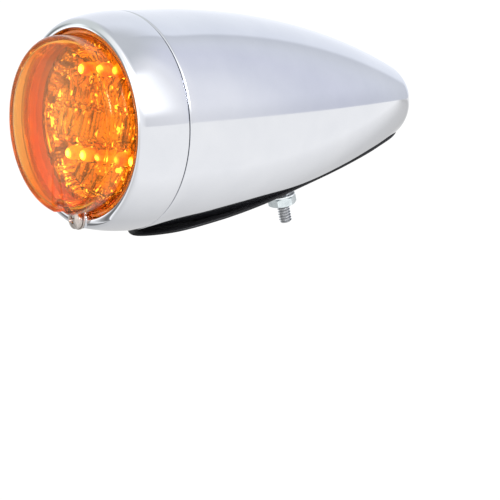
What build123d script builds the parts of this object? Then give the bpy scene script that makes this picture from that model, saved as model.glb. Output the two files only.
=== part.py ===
from build123d import *
import os
from math import asin, cos, radians, sin, sqrt

# Bullet turn signal lamp.  Millimetres.  The lens faces -Y, the tail points to +Y, +Z is up.
# Each piece is drawn on the lamp's axis, with Y counted from the plane of the bezel's opening,
# and is moved on export so that the origin is where the mounting stud leaves the pad's underside.

# Bullet body
BODY_R = 38.2
WALL = 2.0
SEAM_Y = 17.6
SEAM_GAP = 0.15
SEAM_CHAMFER = 0.6
OGIVE_START_Y = 35.0
OGIVE_R = 275.0
NOSE_R = 16.35
SHOULDER_Y = 20.5
SPIGOT_R = 36.1
SPIGOT_BORE_R = 34.3
SPIGOT_FRONT_Y = 9.8

# Mounting foot: a sloping flat under the bullet, parallel to the pad
STUD_Y = 91.0
STUD_Z = -25.3
FOOT_SLOPE = 13.0
PAD_T = 1.0
FLOOR_T = 2.5
PAD_FRONT = -70.5
PAD_TAIL = 65.0
PAD_SKIRT_H = 9.0
PAD_SKIRT_INSET = 5.0
PAD_SKIRT_END = -34.0
PAD_CLEARANCE = 0.12
PAD_HOLE_CLEARANCE = 0.2
PAD_RECESS_CLEARANCE = 0.3
PAD_RIGHT_SIDE = (
    (12.0, -63.5),
    (19.4, -48.0),
    (22.6, -29.0),
    (21.9, -10.0),
    (19.6, 18.0),
    (15.0, 40.0),
    (9.0, 56.0),
)

# Front bezel
OPENING_R = 32.5
BEZEL_BORE_R = 36.4
POCKET_R = 35.4
LEDGE_Y = 2.6
POCKET_END_Y = 6.3
TAPER_R = 60.0
TAPER_TURN = 15.0
LIP_R = 3.0
LIP_TURN = 95.0
LIP_EDGE_R = 0.5

# Lens, its seal and its retaining ring
LENS_FLANGE_R = 35.1
LENS_FLANGE_Y = 3.4
LENS_FLANGE_T = 1.5
LENS_COLLAR_R = 32.1
LENS_COLLAR_Y = 0.5
LENS_WALL_R = 30.8
LENS_FACE_Y = -9.8
LENS_CROWN = 0.7
LENS_RIM_R = 2.2
LENS_DRAFT = 0.4
LENS_T = 2.0
SEAL_BORE_R = 33.0
SEAL_R = 35.3
RETAINER_BORE_R = 31.5
RETAINER_T = 1.2
RING_GAP = 0.05

# Screw at the bottom of the bezel, number 6 with 32 threads to the inch
SCREW_AXIS_R = 32.6
SCREW_R = 1.753
SCREW_HEAD_R = 3.4
SCREW_HEAD_T = 2.3
SCREW_TIP_Y = 21.8
SCREW_HOLE_END_Y = 24.0
SCREW_BOSS_R = 3.4
SCREW_BOSS_END_Y = 26.0
SCREW_CLEARANCE = 0.06
CROSS_LENGTH = 3.4
CROSS_WIDTH = 0.8
CROSS_DEPTH = 1.1
EAR_R = 4.2
EAR_FRONT_Y = -1.2
EAR_BACK_Y = 3.2
EAR_LIMIT_R = 35.7
EAR_HOLE_R = 2.05
SCREW_WASHER_R = 3.7
SCREW_WASHER_T = 0.7
SCALLOP_R = 4.9
NOTCH_R = 4.6
NOTCH_CLEARANCE = 0.5

# LED module
REFLECTOR_R = 27.4
REFLECTOR_FRONT_Y = 4.6
REFLECTOR_FLANGE_Y = 6.5
REFLECTOR_FLANGE_T = 1.2
REFLECTOR_FLOOR_Y = 12.4
REFLECTOR_BACK_R = 25.8
REFLECTOR_T = 1.2
MODULE_FLANGE_R = 35.2
MODULE_FLANGE_Y = 7.75
MODULE_R = 28.0
MODULE_BACK_Y = 34.0
MODULE_WALL = 1.8
MODULE_SHELF = 1.6
BOARD_R = 25.8
BOARD_Y = 16.0
BOARD_T = 1.6
LED_R = 2.5
LED_FLANGE_R = 2.9
LED_FLANGE_T = 1.0
LED_H = 8.6
LED_HOLE_R = 3.2
UPPER_ROW_X = (-8.8, 0.0, 8.8)
UPPER_ROW_Z = 18.0
LOWER_ROW_X = (-17.6, -8.8, 0.0, 8.8, 17.6)
LOWER_ROW_Z = -12.0
MODULE_BOSS_ANGLES = (90.0, 210.0, 330.0)
MODULE_BOSS_R = 3.2
MODULE_BOSS_AXIS_R = 32.4
MODULE_BOSS_END_Y = 22.5

# Components on the board's back: width, depth and height, or radius and depth
RESISTOR = (6.4, 1.2, 3.2)
RESISTOR_X = (-14.0, -5.0, 5.0, 14.0)
RESISTOR_Z = (8.0, 15.0)
DIODE = (5.2, 2.4, 2.7)
DIODE_X = -12.0
CAPACITOR_R = 3.15
CAPACITOR_DEPTH = 7.5
CAPACITOR_X = 12.0
LARGE_PARTS_Z = -9.0

# Terminals on the module's back
PIN_R = 0.8
PIN_X = (-5.0, 0.0, 5.0)
PIN_CLEARANCE = 0.05
SOCKET_WIDTH = 18.0
SOCKET_HEIGHT = 9.0
SOCKET_DEPTH = 9.0
SOCKET_WALL = 1.5
TAB_Z = -13.0
TAB_WIDTH = 6.3
TAB_T = 0.8
TAB_END_Y = 43.0
SPADE_WIDTH = 8.0
SPADE_T = 2.8
SPADE_START_Y = 35.5
SPADE_END_Y = 46.0

# Small pan head screws
SMALL_SCREW_R = 1.3
SMALL_HEAD_R = 2.3
SMALL_HEAD_T = 1.4
SMALL_HEAD_CLEARANCE = 0.3
SMALL_SCREW_PASS = 0.2
SMALL_SCREW_TIP_GAP = 1.0

# Mounting stud, number 10 with 24 threads to the inch, and what is on it
STUD_R = 2.413
STUD_END = -18.7
STUD_CHAMFER = 0.5
RELIEF_TOP = -11.85
RELIEF_BOTTOM = -12.45
RELIEF_R = 2.05
HEX_AF = 9.525
STUD_HEAD_T = 3.0
NUT_TOP = -8.4
NUT_T = 3.2
NUT_BORE_R = 2.47
NUT_CHAMFER_T = 0.35
NUT_CHAMFER_R = 0.7
STUD_WASHER_R = 5.3
STUD_WASHER_T = 0.8
STUD_HOLE_R = 2.7
PLATE_T = 2.0
PLATE_WIDTH = 30.0
PLATE_LENGTH = 20.0
PLATE_SCREW_X = (-10.5, 10.5)
PLATE_HOLE_CLEARANCE = 0.1
PLATE_HOLE_FLOOR = 0.6
PLATE_SCREW_TIP = 0.8

# Ground lead from the stud to the module
TERMINAL_T = 0.8
TERMINAL_R = 4.6
TONGUE_WIDTH = 3.4
TONGUE_START = 3.5
BARREL_R = 1.6
BARREL_START = 8.5
BARREL_END = 14.0
LEAD_R = 0.8
LEAD_RUN = 11.0
LEAD_TURN_Y = 56.0

# Cable outlet behind the stud
OUTLET_Y = 22.0
OUTLET_BORE_R = 2.6
OUTLET_HOLE_R = 4.5
OUTLET_FLANGE_R = 6.2
OUTLET_FLANGE_T = 0.8

# Working values
BIG = 400.0
TILT = radians(FOOT_SLOPE)
FLOOR_TOP = PAD_T + FLOOR_T
PLATE_TOP = FLOOR_TOP + PLATE_T
BARREL_HEIGHT = PLATE_TOP + BARREL_R
BOARD_BACK_Y = BOARD_Y + BOARD_T
SCREW_SEAT_Y = EAR_FRONT_Y - SCREW_WASHER_T - RING_GAP
FOOT = Plane(origin=(0, STUD_Y, STUD_Z), x_dir=(1, 0, 0), z_dir=(0, -sin(TILT), cos(TILT)))
TO_ROW = Pos(0, -STUD_Y, -STUD_Z)
ON_BASE = Align.CENTER, Align.CENTER, Align.MIN
ON_FRONT = Align.CENTER, Align.MIN, Align.CENTER


def save(name, *solids):
    """Write one node; several solids stay apart in it."""
    moved = [TO_ROW * solid for solid in solids]
    export_step(moved[0] if len(moved) == 1 else Compound(children=moved), f"parts/{name}.step")


def turned(*edges):
    """A solid of revolution about the lamp's axis, from edges drawn as (radius, Y)."""
    return revolve(make_face(Curve() + list(edges)), Axis.Y)


def turned_outline(*points):
    """The same, from the corners of a straight-sided outline."""
    return revolve(make_face(Polyline(*points, close=True)), Axis.Y)


def rod(radius, y_start, y_end, x=0.0, z=0.0):
    """A cylinder parallel to the lamp's axis."""
    return Pos(x, y_start, z) * Rot(X=-90) * Cylinder(radius, y_end - y_start, align=ON_BASE)


def screw_zone(radius, y_start, y_end):
    """A cylinder round the lens screw's axis."""
    return rod(radius, y_start, y_end, z=-SCREW_AXIS_R)


def upright(radius, low, high, x=0.0, y=0.0):
    """A cylinder square to the foot, between two heights above the pad's underside."""
    return FOOT * (Pos(x, y, low) * Cylinder(radius, high - low, align=ON_BASE))


def slab(width, length, low, high, y=0.0):
    """A rectangular plate parallel to the foot."""
    return FOOT * (Pos(0, y, low) * Box(width, length, high - low, align=ON_BASE))


def polar(radius, angle):
    """X and Z of a point at an angle round the lamp's axis, from +X towards +Z."""
    return radius * cos(radians(angle)), radius * sin(radians(angle))


def boss_places():
    """X and Z of each module screw."""
    return [polar(MODULE_BOSS_AXIS_R, angle) for angle in MODULE_BOSS_ANGLES]


def led_places():
    """X and Z of each LED."""
    upper = [(x, UPPER_ROW_Z) for x in UPPER_ROW_X]
    return upper + [(x, LOWER_ROW_Z) for x in LOWER_ROW_X]


def bullet(offset, y_start):
    """The solid bullet, shrunk inwards by an offset: a barrel, an ogive and a round nose."""
    barrel_r = BODY_R - offset
    ogive_r = OGIVE_R - offset
    nose_r = NOSE_R - offset
    ogive_axis_r = BODY_R - OGIVE_R
    nose_y = OGIVE_START_Y + sqrt((OGIVE_R - NOSE_R) ** 2 - ogive_axis_r**2)
    turn = asin((nose_y - OGIVE_START_Y) / (OGIVE_R - NOSE_R))
    nose_turn = (turn + radians(90)) / 2
    barrel_end = (barrel_r, OGIVE_START_Y)
    ogive_middle = (ogive_axis_r + ogive_r * cos(turn / 2), OGIVE_START_Y + ogive_r * sin(turn / 2))
    ogive_end = (ogive_axis_r + ogive_r * cos(turn), OGIVE_START_Y + ogive_r * sin(turn))
    nose_middle = (nose_r * cos(nose_turn), nose_y + nose_r * sin(nose_turn))
    tip = (0, nose_y + nose_r)
    return turned(
        Line((0, y_start), (barrel_r, y_start)),
        Line((barrel_r, y_start), barrel_end),
        ThreePointArc(barrel_end, ogive_middle, ogive_end),
        ThreePointArc(ogive_end, nose_middle, tip),
        Line(tip, (0, y_start)),
    )


def above_foot(height):
    """Everything more than a height above the pad's underside."""
    return slab(BIG, BIG, height, BIG)


def make_rear_housing():
    """Chrome bullet shell with a flat floor, a spigot for the bezel, and its screw bosses."""
    seam_chamfer = turned_outline(
        (BODY_R - SEAM_CHAMFER, SEAM_Y),
        (BODY_R + SEAM_CHAMFER, SEAM_Y),
        (BODY_R + SEAM_CHAMFER, SEAM_Y + SEAM_GAP + 2 * SEAM_CHAMFER),
    )
    shell = (bullet(0, SEAM_Y + SEAM_GAP) - seam_chamfer) & above_foot(PAD_T)
    body = shell + rod(SPIGOT_R, SPIGOT_FRONT_Y, SHOULDER_Y)
    body -= bullet(WALL, SHOULDER_Y) & above_foot(FLOOR_TOP)
    body -= rod(SPIGOT_BORE_R, SPIGOT_FRONT_Y, SHOULDER_Y)
    body += screw_zone(SCREW_BOSS_R, SPIGOT_FRONT_Y, SCREW_BOSS_END_Y)
    body -= screw_zone(SCREW_R + SCREW_CLEARANCE, SPIGOT_FRONT_Y, SCREW_HOLE_END_Y)
    for x, z in boss_places():
        body += rod(MODULE_BOSS_R, SPIGOT_FRONT_Y, MODULE_BOSS_END_Y, x, z)
        body -= rod(SMALL_SCREW_R + SCREW_CLEARANCE, SPIGOT_FRONT_Y, SHOULDER_Y, x, z)
    body -= upright(STUD_HOLE_R, 0, FLOOR_TOP)
    body -= upright(OUTLET_HOLE_R, 0, FLOOR_TOP, y=OUTLET_Y)
    for x in PLATE_SCREW_X:
        body -= upright(SMALL_SCREW_R + SCREW_CLEARANCE, PAD_T + PLATE_HOLE_FLOOR, FLOOR_TOP, x)
    return body


def pad_outline(inset):
    """The pad's egg outline in the foot plane: broad in front, following the bullet to its tail."""
    right = [(x - inset, y) for x, y in PAD_RIGHT_SIDE]
    left = [(-x, y) for x, y in reversed(right)]
    points = [(0, PAD_FRONT + inset), *right, (0, PAD_TAIL - inset), *left]
    return make_face(Spline(*points, periodic=True))


def make_base_pad():
    """Rubber pad: a flat sheet, with a skirt in front that fills up to the bullet's round belly."""
    skirt = FOOT * extrude(pad_outline(PAD_SKIRT_INSET), PAD_SKIRT_H)
    in_front = FOOT * (Pos(0, PAD_SKIRT_END - BIG / 2, 0) * Box(BIG, BIG, BIG))
    belly = bullet(-PAD_CLEARANCE, SEAM_Y - BODY_R)
    pad = FOOT * extrude(pad_outline(0), PAD_T) + ((skirt & in_front) - belly)
    pad -= upright(STUD_HOLE_R + PAD_HOLE_CLEARANCE, 0, PAD_T)
    return pad - upright(OUTLET_FLANGE_R + PAD_RECESS_CLEARANCE, 0, PAD_T, y=OUTLET_Y)


def lip_arc(centre, radius, start, end):
    """An arc of the bezel's section; angles are in degrees from square to the axis, towards the front."""
    turns = [radians(start), radians((start + end) / 2), radians(end)]
    places = [(centre[0] + radius * cos(turn), centre[1] - radius * sin(turn)) for turn in turns]
    return ThreePointArc(*places)


def make_front_bezel():
    """Chrome trim ring with a rolled lip, a pocket for the lens and an ear for the screw."""
    rear_y = SEAM_Y - SEAM_GAP
    side_y = rear_y - SEAM_CHAMFER
    taper_centre = (BODY_R - TAPER_R, side_y)
    lip_reach = TAPER_R - LIP_R
    lip_centre = (
        taper_centre[0] + lip_reach * cos(radians(TAPER_TURN)),
        taper_centre[1] - lip_reach * sin(radians(TAPER_TURN)),
    )
    edge_reach = LIP_R - LIP_EDGE_R
    edge_centre = (
        lip_centre[0] + edge_reach * cos(radians(LIP_TURN)),
        lip_centre[1] - edge_reach * sin(radians(LIP_TURN)),
    )
    taper = lip_arc(taper_centre, TAPER_R, 0, TAPER_TURN)
    lip = lip_arc(lip_centre, LIP_R, TAPER_TURN, LIP_TURN)
    edge = lip_arc(edge_centre, LIP_EDGE_R, LIP_TURN, 180)
    ring = turned(
        taper,
        lip,
        edge,
        Line(edge @ 1, (OPENING_R, LEDGE_Y)),
        Line((OPENING_R, LEDGE_Y), (POCKET_R, LEDGE_Y)),
        Line((POCKET_R, LEDGE_Y), (POCKET_R, POCKET_END_Y)),
        Line((POCKET_R, POCKET_END_Y), (BEZEL_BORE_R, POCKET_END_Y)),
        Line((BEZEL_BORE_R, POCKET_END_Y), (BEZEL_BORE_R, rear_y)),
        Line((BEZEL_BORE_R, rear_y), (BODY_R - SEAM_CHAMFER, rear_y)),
        Line((BODY_R - SEAM_CHAMFER, rear_y), (BODY_R, side_y)),
    )
    ear = screw_zone(EAR_R, EAR_FRONT_Y, EAR_BACK_Y) & rod(EAR_LIMIT_R, EAR_FRONT_Y, EAR_BACK_Y)
    return ring + ear - screw_zone(EAR_HOLE_R, EAR_FRONT_Y, EAR_BACK_Y)


def lens_form(shrink, back_y):
    """The lens's outer form, or its hollow when shrunk by the wall's thickness."""
    rim = LENS_RIM_R - shrink / 2
    wall_r = LENS_WALL_R - shrink
    front_r = wall_r - LENS_DRAFT
    face_y = LENS_FACE_Y + shrink
    bevel = rim * (1 - cos(radians(45)))
    wall_end = (front_r, face_y + rim)
    face_edge = (front_r - rim, face_y)
    centre = (0, face_y - LENS_CROWN)
    return turned(
        Line((0, back_y), (wall_r, back_y)),
        Line((wall_r, back_y), wall_end),
        ThreePointArc(wall_end, (front_r - bevel, face_y + bevel), face_edge),
        ThreePointArc(face_edge, (front_r / 2, face_y - 0.75 * LENS_CROWN), centre),
        Line(centre, (0, back_y)),
    )


def make_lens():
    """Moulded cup with a collar and a flange, scalloped at the bottom to clear the screw."""
    flange_end = LENS_FLANGE_Y + LENS_FLANGE_T
    outer = lens_form(0, flange_end) + rod(LENS_COLLAR_R, LENS_COLLAR_Y, flange_end)
    outer += rod(LENS_FLANGE_R, LENS_FLANGE_Y, flange_end)
    outer -= screw_zone(SCALLOP_R, 3 * LENS_FACE_Y, flange_end)
    hollow = lens_form(LENS_T, flange_end)
    hollow -= screw_zone(SCALLOP_R + LENS_T, 3 * LENS_FACE_Y, flange_end)
    return outer - hollow


def notched_ring(inner_r, outer_r, y_start, y_end):
    """A flat ring in the bezel's pocket, cut away round the lens screw."""
    ring = rod(outer_r, y_start, y_end) - rod(inner_r, y_start, y_end)
    return ring - screw_zone(SCALLOP_R, y_start, y_end)


def make_lens_seal():
    return notched_ring(SEAL_BORE_R, SEAL_R, LEDGE_Y + RING_GAP, LENS_FLANGE_Y - RING_GAP)


def make_lens_retainer():
    start = LENS_FLANGE_Y + LENS_FLANGE_T + RING_GAP
    return notched_ring(RETAINER_BORE_R, POCKET_R - RING_GAP, start, start + RETAINER_T)


def make_lens_screw():
    """Pan head screw: a short rim under a low dome, with a cross recess."""
    top_y = SCREW_SEAT_Y - SCREW_HEAD_T
    dome_r = 2 * SCREW_HEAD_R
    head = screw_zone(SCREW_HEAD_R, top_y, SCREW_SEAT_Y)
    head &= Pos(0, top_y + dome_r, -SCREW_AXIS_R) * Sphere(dome_r)
    cross = Box(CROSS_LENGTH, 2 * CROSS_DEPTH, CROSS_WIDTH) + Box(CROSS_WIDTH, 2 * CROSS_DEPTH, CROSS_LENGTH)
    head -= Pos(0, top_y, -SCREW_AXIS_R) * cross
    return head + screw_zone(SCREW_R, SCREW_SEAT_Y, SCREW_TIP_Y)


def make_lens_screw_washer():
    front_y = EAR_FRONT_Y - SCREW_WASHER_T
    washer = screw_zone(SCREW_WASHER_R, front_y, EAR_FRONT_Y)
    return washer - screw_zone(SCREW_R + SCREW_CLEARANCE, front_y, EAR_FRONT_Y)


def make_reflector():
    """Plated dish with a flange, its floor pierced for the LEDs."""
    flange_end = REFLECTOR_FLANGE_Y + REFLECTOR_FLANGE_T
    floor_end = REFLECTOR_FLOOR_Y + REFLECTOR_T
    dish = rod(REFLECTOR_R, REFLECTOR_FRONT_Y, flange_end) + rod(REFLECTOR_BACK_R, flange_end, floor_end)
    dish += rod(MODULE_FLANGE_R, REFLECTOR_FLANGE_Y, flange_end)
    dish -= turned_outline(
        (0, REFLECTOR_FRONT_Y),
        (REFLECTOR_R - REFLECTOR_T, REFLECTOR_FRONT_Y),
        (REFLECTOR_BACK_R - REFLECTOR_T, REFLECTOR_FLOOR_Y),
        (0, REFLECTOR_FLOOR_Y),
    )
    for x, z in led_places():
        dish -= rod(LED_HOLE_R, REFLECTOR_FLOOR_Y, floor_end, x, z)
    for x, z in boss_places():
        dish -= rod(SMALL_HEAD_R + SMALL_HEAD_CLEARANCE, REFLECTOR_FLANGE_Y, flange_end, x, z)
    dish -= screw_zone(SCALLOP_R + LENS_T + NOTCH_CLEARANCE, REFLECTOR_FRONT_Y, REFLECTOR_FLANGE_Y)
    return dish - screw_zone(NOTCH_R, REFLECTOR_FLANGE_Y, flange_end)


def make_led(x, z):
    """A round LED with its flange on the board and its dome forward."""
    dome_y = BOARD_Y - LED_H + LED_R
    body = rod(LED_R, dome_y, BOARD_Y, x, z) + rod(LED_FLANGE_R, BOARD_Y - LED_FLANGE_T, BOARD_Y, x, z)
    return body + Pos(x, dome_y, z) * Sphere(LED_R)


def make_leds():
    return [make_led(x, z) for x, z in led_places()]


def make_driver_components():
    """Resistors in two rows, a diode and a capacitor, all behind the board."""
    resistor = Box(*RESISTOR, align=ON_FRONT)
    parts = [Pos(x, BOARD_BACK_Y, z) * resistor for z in RESISTOR_Z for x in RESISTOR_X]
    parts.append(Pos(DIODE_X, BOARD_BACK_Y, LARGE_PARTS_Z) * Box(*DIODE, align=ON_FRONT))
    parts.append(rod(CAPACITOR_R, BOARD_BACK_Y, BOARD_BACK_Y + CAPACITOR_DEPTH, CAPACITOR_X, LARGE_PARTS_Z))
    return parts


def make_module_body():
    """Plastic cup behind the reflector, with a shelf for the board and holes for the terminals."""
    flange_end = SPIGOT_FRONT_Y - RING_GAP
    body = rod(MODULE_FLANGE_R, MODULE_FLANGE_Y, flange_end) + rod(MODULE_R, MODULE_FLANGE_Y, MODULE_BACK_Y)
    body -= rod(MODULE_R - MODULE_WALL, MODULE_FLANGE_Y, BOARD_BACK_Y + RING_GAP)
    body -= rod(BOARD_R - MODULE_SHELF, BOARD_Y, MODULE_BACK_Y - MODULE_WALL)
    for x, z in boss_places():
        body -= rod(SMALL_SCREW_R + SMALL_SCREW_PASS, MODULE_FLANGE_Y, flange_end, x, z)
    body -= screw_zone(NOTCH_R, MODULE_FLANGE_Y, flange_end)
    for x in PIN_X:
        body -= rod(PIN_R + PIN_CLEARANCE, MODULE_BACK_Y - MODULE_WALL, MODULE_BACK_Y, x)
    slot = Box(TAB_WIDTH + 2 * PIN_CLEARANCE, 3 * MODULE_WALL, TAB_T + 2 * PIN_CLEARANCE)
    return body - Pos(0, MODULE_BACK_Y, TAB_Z) * slot


def make_module_screws():
    """Pan head screws through the module's flange into the housing's bosses."""
    screws = []
    for x, z in boss_places():
        head = rod(SMALL_HEAD_R, MODULE_FLANGE_Y - SMALL_HEAD_T, MODULE_FLANGE_Y, x, z)
        screws.append(head + rod(SMALL_SCREW_R, MODULE_FLANGE_Y, SHOULDER_Y - SMALL_SCREW_TIP_GAP, x, z))
    return screws


def make_terminal_socket():
    """Shroud round the terminal pins, open to the rear."""
    block = Box(SOCKET_WIDTH, SOCKET_DEPTH, SOCKET_HEIGHT, align=ON_FRONT)
    room = Box(SOCKET_WIDTH - 2 * SOCKET_WALL, SOCKET_DEPTH, SOCKET_HEIGHT - 2 * SOCKET_WALL, align=ON_FRONT)
    shroud = Pos(0, MODULE_BACK_Y, 0) * (block - Pos(0, SOCKET_WALL, 0) * room)
    for x in PIN_X:
        shroud -= rod(PIN_R + PIN_CLEARANCE, MODULE_BACK_Y, MODULE_BACK_Y + SOCKET_WALL, x)
    return shroud


def make_terminal_pins():
    return [rod(PIN_R, BOARD_BACK_Y, MODULE_BACK_Y + SOCKET_DEPTH - SOCKET_WALL, x) for x in PIN_X]


def make_ground_tab():
    length = TAB_END_Y - BOARD_BACK_Y
    return Pos(0, BOARD_BACK_Y, TAB_Z) * Box(TAB_WIDTH, length, TAB_T, align=ON_FRONT)


def make_spade_connector():
    """Female spade pushed over the ground tab, closed at the lead's end."""
    sleeve = Box(SPADE_WIDTH, SPADE_END_Y - SPADE_START_Y, SPADE_T, align=ON_FRONT)
    slot = Box(
        TAB_WIDTH + 2 * PIN_CLEARANCE,
        TAB_END_Y - SPADE_START_Y + PIN_CLEARANCE,
        TAB_T + 2 * PIN_CLEARANCE,
        align=ON_FRONT,
    )
    return Pos(0, SPADE_START_Y, TAB_Z) * (sleeve - slot)


def make_ground_lead():
    """Insulated wire from the ring terminal's barrel, up off the floor, to the spade."""
    start = FOOT.from_local_coords(Vector(0, -BARREL_END, BARREL_HEIGHT))
    dip = FOOT.from_local_coords(Vector(0, -BARREL_END - LEAD_RUN, BARREL_HEIGHT))
    turn = Vector(0, LEAD_TURN_Y, TAB_Z)
    end = Vector(0, SPADE_END_Y, TAB_Z)
    points = [start, dip, turn, end]
    runs = [b - a for a, b in zip(points, points[1:])]
    radii = []
    for before, after in zip(runs, runs[1:]):
        half_turn = radians(before.get_angle(after)) / 2
        radii.append(0.45 * min(before.length, after.length) * cos(half_turn) / sin(half_turn))
    print("ground lead radii", [round(radius, 1) for radius in radii], "diameter", 2 * LEAD_R)
    path = FilletPolyline(*points, radius=radii)
    section = Plane(origin=start, z_dir=runs[0]) * Circle(LEAD_R)
    lead = sweep(section, path=path)
    print("ground lead length", round(path.length, 2))
    return lead


def make_ring_terminal():
    """Ring under the bolt head, with a tongue and a crimped barrel in front."""
    tongue_length = BARREL_START - TONGUE_START
    tongue_y = -TONGUE_START - tongue_length / 2
    ring = upright(TERMINAL_R, PLATE_TOP, PLATE_TOP + TERMINAL_T)
    ring += slab(TONGUE_WIDTH, tongue_length, PLATE_TOP, PLATE_TOP + TERMINAL_T, y=tongue_y)
    ring -= upright(STUD_R + PIN_CLEARANCE, PLATE_TOP, PLATE_TOP + TERMINAL_T)
    barrel = Cylinder(BARREL_R, BARREL_END - BARREL_START, align=ON_BASE)
    return ring + FOOT * (Pos(0, -BARREL_START, BARREL_HEIGHT) * Rot(X=90) * barrel)


def make_stud_plate():
    """Steel plate on the floor that spreads the stud's load."""
    plate = slab(PLATE_WIDTH, PLATE_LENGTH, FLOOR_TOP, PLATE_TOP)
    plate -= upright(STUD_R + PIN_CLEARANCE, FLOOR_TOP, PLATE_TOP)
    for x in PLATE_SCREW_X:
        plate -= upright(SMALL_SCREW_R + PLATE_HOLE_CLEARANCE, FLOOR_TOP, PLATE_TOP, x)
    return plate


def make_plate_screws():
    screws = []
    for x in PLATE_SCREW_X:
        head = upright(SMALL_HEAD_R, PLATE_TOP, PLATE_TOP + SMALL_HEAD_T, x)
        screws.append(head + upright(SMALL_SCREW_R, PAD_T + PLATE_SCREW_TIP, PLATE_TOP, x))
    return screws


def hexagon_prism(low, height):
    hexagon = RegularPolygon(HEX_AF / 2, 6, major_radius=False)
    return FOOT * (Pos(0, 0, low) * extrude(hexagon, height))


def make_mounting_stud():
    """Hex head bolt through the terminal, plate, floor and pad, relieved above its free end."""
    seat = PLATE_TOP + TERMINAL_T
    tip = Cone(STUD_R - STUD_CHAMFER, STUD_R, STUD_CHAMFER, align=ON_BASE)
    bolt = hexagon_prism(seat, STUD_HEAD_T) + upright(STUD_R, RELIEF_TOP, seat)
    bolt += upright(RELIEF_R, RELIEF_BOTTOM, RELIEF_TOP)
    bolt += upright(STUD_R, STUD_END + STUD_CHAMFER, RELIEF_BOTTOM)
    return bolt + FOOT * (Pos(0, 0, STUD_END) * tip)


def make_stud_nut():
    """Hex nut with both faces chamfered round, free to turn on the stud."""
    low = NUT_TOP - NUT_T
    corner_r = HEX_AF / 2 / cos(radians(30))
    blank = Cylinder(corner_r, NUT_T, align=ON_BASE)
    blank = chamfer(blank.edges().filter_by(GeomType.CIRCLE), NUT_CHAMFER_T, NUT_CHAMFER_R)
    nut = hexagon_prism(low, NUT_T) & (FOOT * (Pos(0, 0, low) * blank))
    return nut - upright(NUT_BORE_R, low, NUT_TOP)


def make_stud_washer():
    low = NUT_TOP + RING_GAP
    high = low + STUD_WASHER_T
    return upright(STUD_WASHER_R, low, high) - upright(NUT_BORE_R, low, high)


def make_wire_grommet():
    """Rubber bush clipped into the floor, with a flange on each side."""
    low = PAD_T - OUTLET_FLANGE_T
    high = FLOOR_TOP + OUTLET_FLANGE_T
    bush = upright(OUTLET_HOLE_R - RING_GAP, low, high, y=OUTLET_Y)
    bush += upright(OUTLET_FLANGE_R, low, PAD_T - RING_GAP, y=OUTLET_Y)
    bush += upright(OUTLET_FLANGE_R, FLOOR_TOP + RING_GAP, high, y=OUTLET_Y)
    return bush - upright(OUTLET_BORE_R, low, high, y=OUTLET_Y)


def build():
    os.makedirs("parts", exist_ok=True)
    save("rear_housing", make_rear_housing())
    save("base_pad", make_base_pad())
    save("front_bezel", make_front_bezel())
    save("lens", make_lens())
    save("lens_seal", make_lens_seal())
    save("lens_retainer", make_lens_retainer())
    save("lens_screw", make_lens_screw())
    save("lens_screw_washer", make_lens_screw_washer())
    save("reflector", make_reflector())
    save("leds", *make_leds())
    save("led_board", rod(BOARD_R, BOARD_Y, BOARD_BACK_Y))
    save("driver_components", *make_driver_components())
    save("module_body", make_module_body())
    save("module_screws", *make_module_screws())
    save("terminal_socket", make_terminal_socket())
    save("terminal_pins", *make_terminal_pins())
    save("ground_tab", make_ground_tab())
    save("spade_connector", make_spade_connector())
    save("ground_lead", make_ground_lead())
    save("ring_terminal", make_ring_terminal())
    save("stud_plate", make_stud_plate())
    save("plate_screws", *make_plate_screws())
    save("mounting_stud", make_mounting_stud())
    save("stud_nut", make_stud_nut())
    save("stud_washer", make_stud_washer())
    save("wire_grommet", make_wire_grommet())


build()
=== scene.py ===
from math import acos, atan2, cos, degrees, floor, hypot, pi, radians, sin, sqrt

import bmesh
import bpy
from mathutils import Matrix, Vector


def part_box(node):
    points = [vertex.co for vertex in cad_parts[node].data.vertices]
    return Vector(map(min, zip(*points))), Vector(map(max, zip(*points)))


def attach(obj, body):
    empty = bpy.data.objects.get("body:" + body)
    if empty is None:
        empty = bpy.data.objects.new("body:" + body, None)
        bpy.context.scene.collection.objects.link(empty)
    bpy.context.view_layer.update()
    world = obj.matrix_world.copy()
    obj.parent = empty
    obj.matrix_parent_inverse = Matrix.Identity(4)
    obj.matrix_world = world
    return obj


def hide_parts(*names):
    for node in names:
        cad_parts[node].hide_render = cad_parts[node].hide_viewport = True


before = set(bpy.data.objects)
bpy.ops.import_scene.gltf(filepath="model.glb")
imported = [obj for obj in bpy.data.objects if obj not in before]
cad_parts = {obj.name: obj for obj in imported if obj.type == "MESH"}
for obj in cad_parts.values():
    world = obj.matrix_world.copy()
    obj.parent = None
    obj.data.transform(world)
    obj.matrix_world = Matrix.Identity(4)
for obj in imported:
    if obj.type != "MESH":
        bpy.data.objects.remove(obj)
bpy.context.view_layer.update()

# Bullet turn signal lamp.  Lengths are in millimetres until a mesh is made, which is in metres.
# "Lamp" places are (x, y, z) from the middle of the bezel's opening, with y along the bullet's axis.
# "Foot" places are (x, s, h) from the row's origin: s runs up the pad's slope, h stands square to the pad.
MM = 0.001
SPIGOT_FRONT_Y = 9.8
bezel_low, bezel_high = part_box("front_bezel")
AXIS_Z = (bezel_low.z + bezel_high.z) / 2
OPENING_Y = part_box("rear_housing")[0].y - SPIGOT_FRONT_Y * MM
TILT = radians(13.0)

# Segments round the large pieces, and how far a cutter runs past what it cuts
ROUND = 288
PAST = 1.0

# Bullet and its seam
BODY_R = 38.2
WALL = 2.0
SEAM_Y = 17.45
HOUSING_Y = 17.75
SEAM_ROUND = 0.65
OGIVE_START_Y = 35.0
OGIVE_R = 275.0
NOSE_R = 16.35
SHOULDER_Y = 20.5
SPIGOT_R = 36.1
SPIGOT_BORE_R = 34.3
SPIGOT_CHAMFER = 0.4
PAD_T = 1.0
FLOOR_TOP = 3.5

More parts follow.
